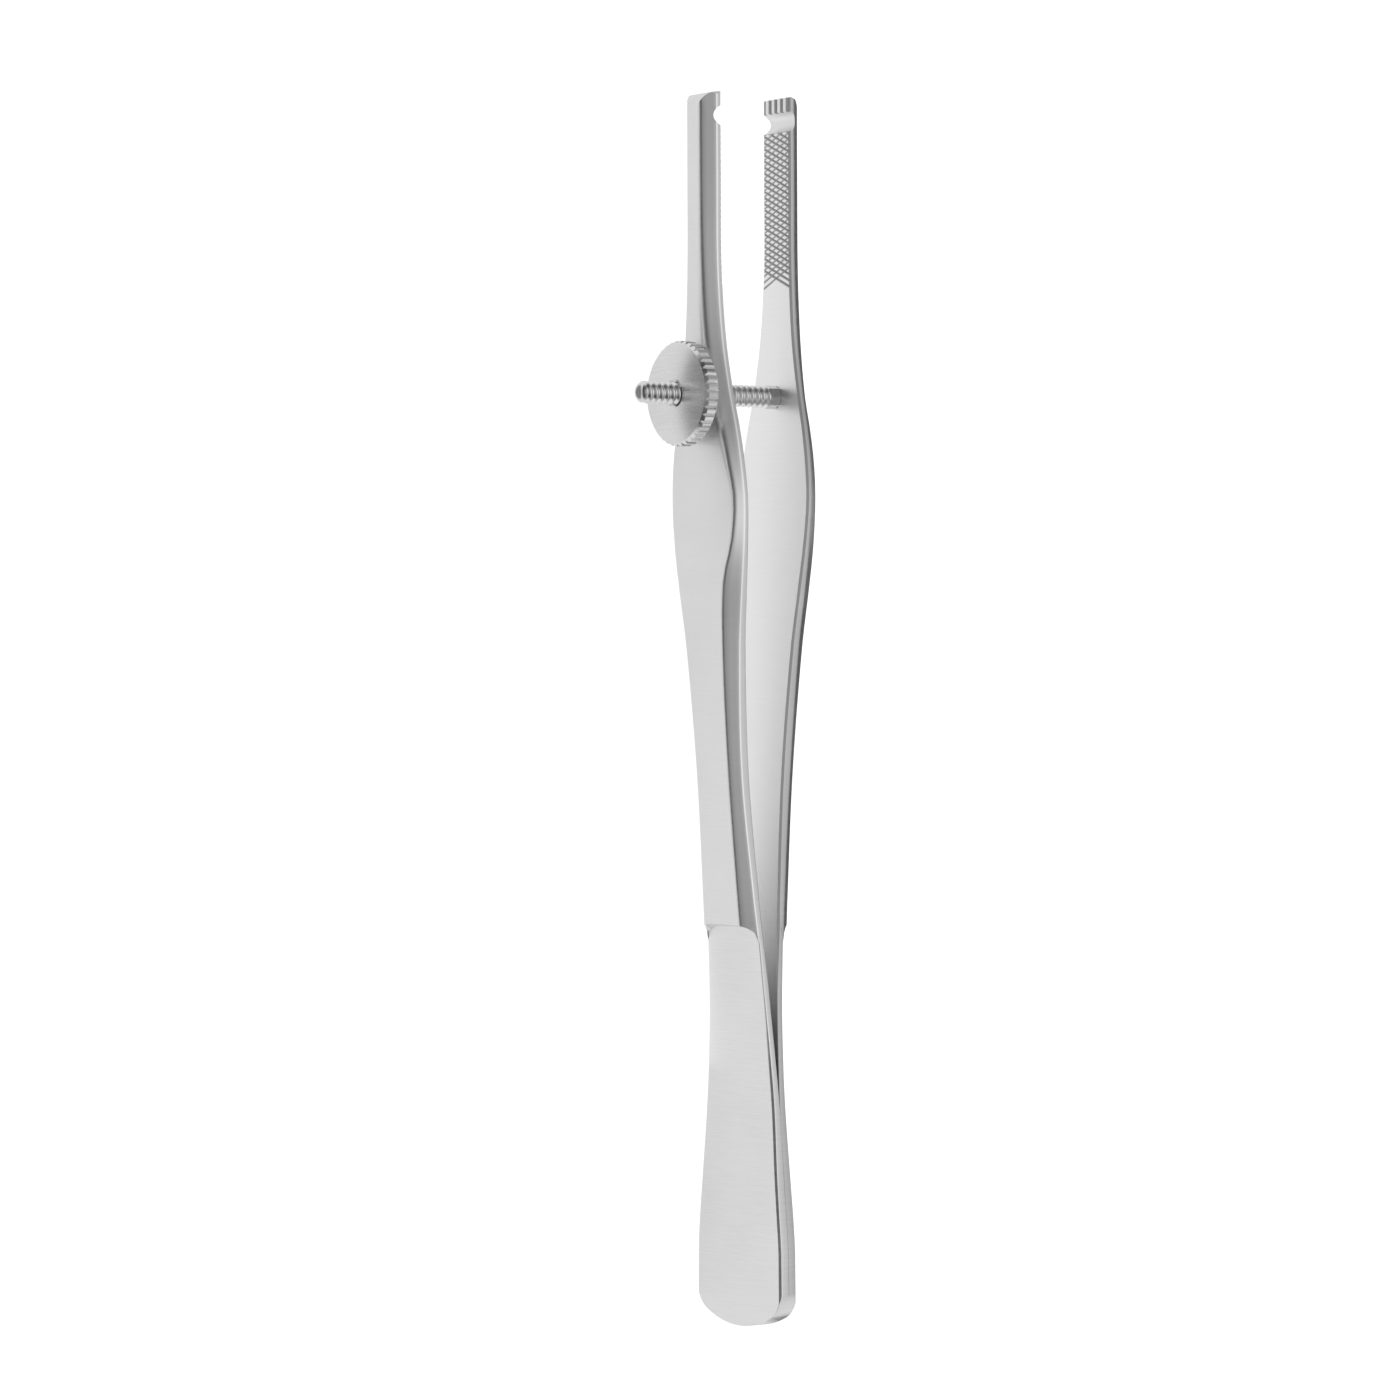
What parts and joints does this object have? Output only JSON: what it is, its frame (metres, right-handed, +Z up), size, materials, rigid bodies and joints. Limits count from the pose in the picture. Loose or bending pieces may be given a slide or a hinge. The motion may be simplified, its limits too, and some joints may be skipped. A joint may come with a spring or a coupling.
{
  "type": "ossicle holding clamp",
  "caption": "Slim tweezer-like steel clamp with grooved jaw tips, closed by a knurled wheel nut on a cross screw, for holding a tiny ear bone while it is shaped.",
  "frame": {"origin": "bottom centre of the bounding box of the clamp lying on its side edges with its jaws open", "axes": "+X from the welded tail towards the jaw tips, +Y from the fixed arm towards the arm that carries the wheel nut, +Z up across the width of the arms"},
  "size_m": [0.12, 0.0186, 0.0137],
  "materials": {
    "satin_steel_arms": "satin",
    "bright_steel_screw": "polished",
    "satin_steel_nut": "satin"
  },
  "bodies": {
    "back_arm": {"back_arm": "satin_steel_arms", "front_leaf": "satin_steel_arms", "clamp_screw": "bright_steel_screw"},
    "front_arm": {"front_arm": "satin_steel_arms"},
    "seat_washer": {"seat_washer": "bright_steel_screw"},
    "wheel_nut": {"wheel_nut": "satin_steel_nut"}
  },
  "joints": [
    {"name": "front_arm_flex", "type": "hinge", "parent": "back_arm", "child": "front_arm", "pos_m": [-0.03045, -0.00266, 0.00685], "axis": [0, 0, -1], "range_deg": [0, 5.1], "deforming": ["front_leaf"]},
    {"name": "washer_travel", "type": "slide", "parent": "back_arm", "child": "seat_washer", "axis": [0, -1, 0], "range_m": [0, 0.00545]},
    {"name": "nut_turn", "type": "hinge", "parent": "seat_washer", "child": "wheel_nut", "pos_m": [0.0307, 0.00402, 0.00685], "axis": [0, -1, 0], "range_deg": [0, 2880]}
  ],
  "couplings": [
    {"joint": "washer_travel", "follows": "front_arm_flex", "m_per_rad": 0.06107},
    {"joint": "nut_turn", "follows": "front_arm_flex", "ratio": 564.28}
  ]
}
